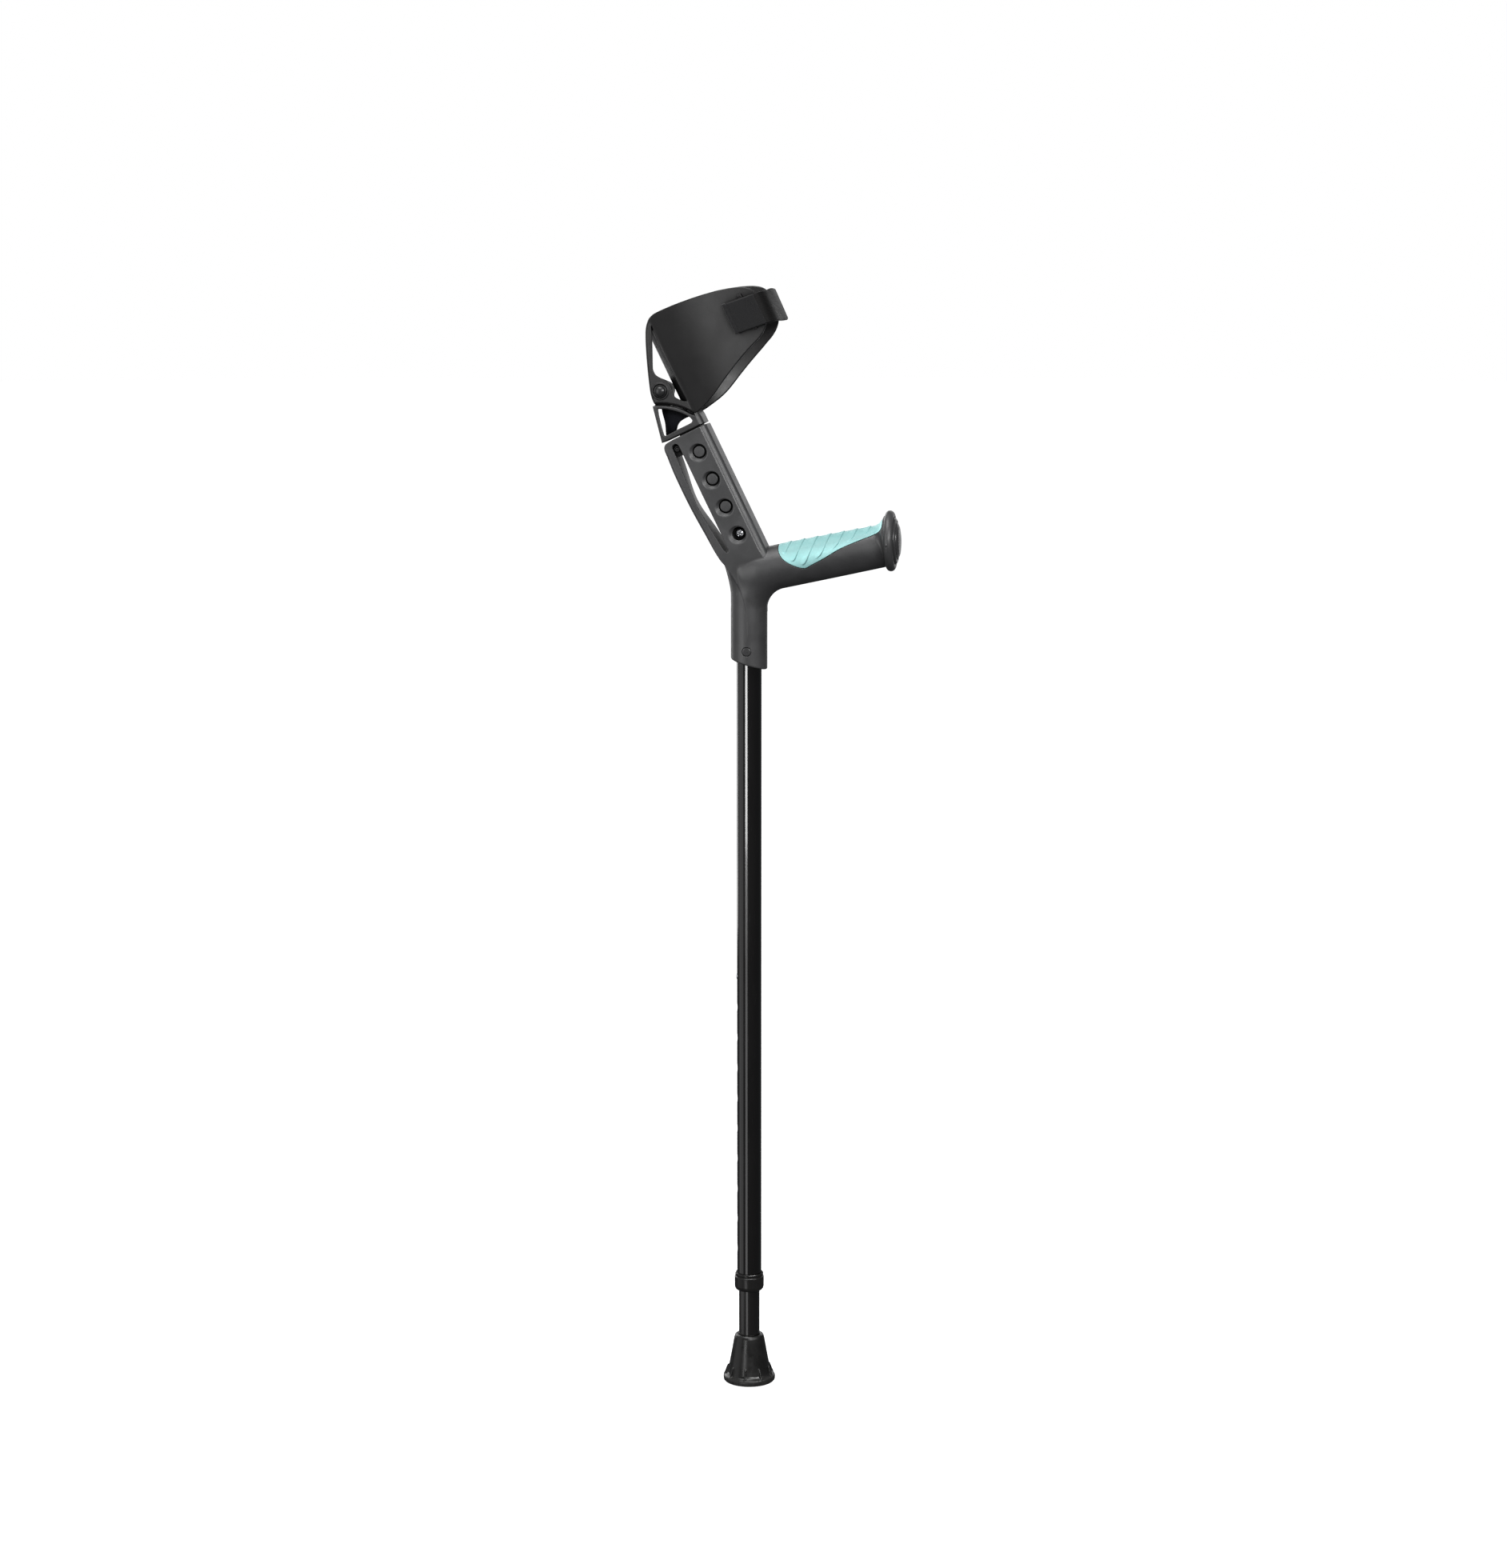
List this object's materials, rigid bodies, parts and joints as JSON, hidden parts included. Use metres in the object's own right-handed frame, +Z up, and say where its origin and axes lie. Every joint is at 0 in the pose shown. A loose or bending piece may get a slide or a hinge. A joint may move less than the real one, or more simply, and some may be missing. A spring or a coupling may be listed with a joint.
{
  "type": "forearm crutch",
  "caption": "Forearm crutch with a telescopic leg, moulded handle with a soft palm pad, height-adjustable hinged arm cuff with a closing strap, and a rubber ferrule.",
  "frame": {"origin": "centre of the ferrule's sole, on the floor", "axes": "+Z up along the leg tubes, +X towards the end of the hand grip, Y across the crutch"},
  "size_m": [0.2026, 0.0854, 0.8987],
  "materials": {
    "moulded_body": "charcoal moulded plastic with a fine satin grain",
    "cuff_plastic": "black-grey moulded plastic, semi-matte",
    "gloss_black_tube": "aluminium tube with gloss black coating",
    "black_rubber": "moulded black rubber with a slight gloss",
    "soft_pad": "pale turquoise soft-touch rubber with raised slanting ribs",
    "steel": "zinc plated steel",
    "webbing": "woven black webbing",
    "hook_fastener": "matte black hook fastener"
  },
  "bodies": {
    "frame": {"handle_frame": "moulded_body", "grip_pad": "soft_pad", "grip_end_cap": "moulded_body", "hole_plug_lower": "moulded_body", "hole_plug_middle": "moulded_body", "hole_plug_upper": "moulded_body", "socket_rivet": "moulded_body", "outer_tube": "gloss_black_tube", "tube_end_collar": "moulded_body"},
    "leg": {"inner_tube": "gloss_black_tube", "inner_tube_end_plug": "moulded_body", "rubber_foot": "black_rubber", "foot_washer": "steel", "snap_spring": "steel"},
    "button": {"snap_button": "steel"},
    "carrier": {"cuff_carrier": "moulded_body", "lock_screw": "steel", "lock_nut": "steel"},
    "cuff": {"arm_cuff": "cuff_plastic", "hinge_pin": "steel", "hinge_cap_near": "moulded_body", "hinge_cap_far": "moulded_body", "hinge_washer_near": "steel", "hinge_washer_far": "steel", "strap_bar_near": "cuff_plastic", "strap_bar_far": "cuff_plastic", "cuff_fastener_patch": "hook_fastener"},
    "strap": {"strap_band": "webbing", "strap_end_tab": "hook_fastener"}
  },
  "joints": [
    {"name": "leg_slide", "type": "slide", "parent": "frame", "child": "leg", "axis": [0, 0, -1], "range_m": [0, 0.2286], "deforming": ["snap_button", "snap_spring"]},
    {"name": "snap_button_press", "type": "slide", "parent": "leg", "child": "button", "axis": [1, 0, 0], "range_m": [0, 0.003], "stiffness_N_per_m": 300},
    {"name": "cuff_slide", "type": "slide", "parent": "frame", "child": "carrier", "axis": [-0.4384, 0, 0.8988], "range_m": [0, 0.072]},
    {"name": "cuff_tilt", "type": "hinge", "parent": "carrier", "child": "cuff", "pos_m": [-0.0689, 0, 0.8149], "axis": [0, -1, 0], "range_deg": [0, 70]},
    {"name": "strap_open", "type": "hinge", "parent": "cuff", "child": "strap", "pos_m": [0.0059, 0.03989, 0.87873], "axis": [-0.4384, 0, 0.8988], "range_deg": [0, 110]}
  ]
}
